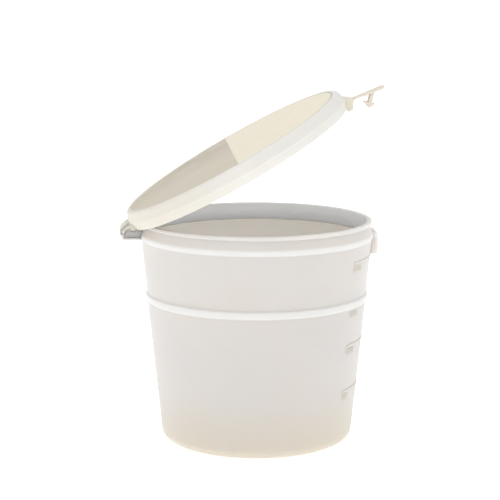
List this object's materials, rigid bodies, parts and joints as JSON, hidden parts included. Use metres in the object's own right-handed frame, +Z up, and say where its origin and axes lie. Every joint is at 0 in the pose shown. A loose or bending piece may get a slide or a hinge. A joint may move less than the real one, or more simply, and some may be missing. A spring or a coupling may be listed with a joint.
{
  "type": "urine collecting jar",
  "caption": "Wide-mouth graduated urine collecting jar in translucent plastic with a hinged snap lid and a fold-down clasp.",
  "frame": {"origin": "centre of the jar's foot, on the surface it stands on", "axes": "+Z up along the jar's axis; +X towards the clasp and -X towards the lid's hinge"},
  "size_m": [0.1835, 0.1712, 0.246],
  "materials": {
    "jar_natural": "translucent natural polypropylene, satin",
    "lid_natural": "cream natural polypropylene, satin",
    "panel_matt": "fine matt writing surface, grey beige"
  },
  "bodies": {
    "jar": {"jar_body": "jar_natural", "graduation_bars": "jar_natural", "graduation_numerals": "jar_natural", "jar_hinge_strap": "jar_natural", "hinge_film": "jar_natural", "catch_loop": "jar_natural"},
    "lid": {"lid_plate": "lid_natural", "lid_skirt": "lid_natural", "writing_panel": "panel_matt", "plug_ring": "lid_natural", "lid_hinge_strap": "lid_natural", "clasp_hood": "lid_natural", "clasp_film": "lid_natural"},
    "clasp": {"clasp_arm": "lid_natural", "clasp_barb": "lid_natural"}
  },
  "joints": [
    {"name": "lid_hinge", "type": "hinge", "parent": "jar", "child": "lid", "pos_m": [-0.0944, 0, 0.1454], "axis": [0, -1, 0], "range_deg": [-29.6, 135]},
    {"name": "clasp_hinge", "type": "hinge", "parent": "lid", "child": "clasp", "pos_m": [0.06637, 0, 0.23673], "axis": [0, 1, 0], "range_deg": [-20, 82.5]}
  ]
}
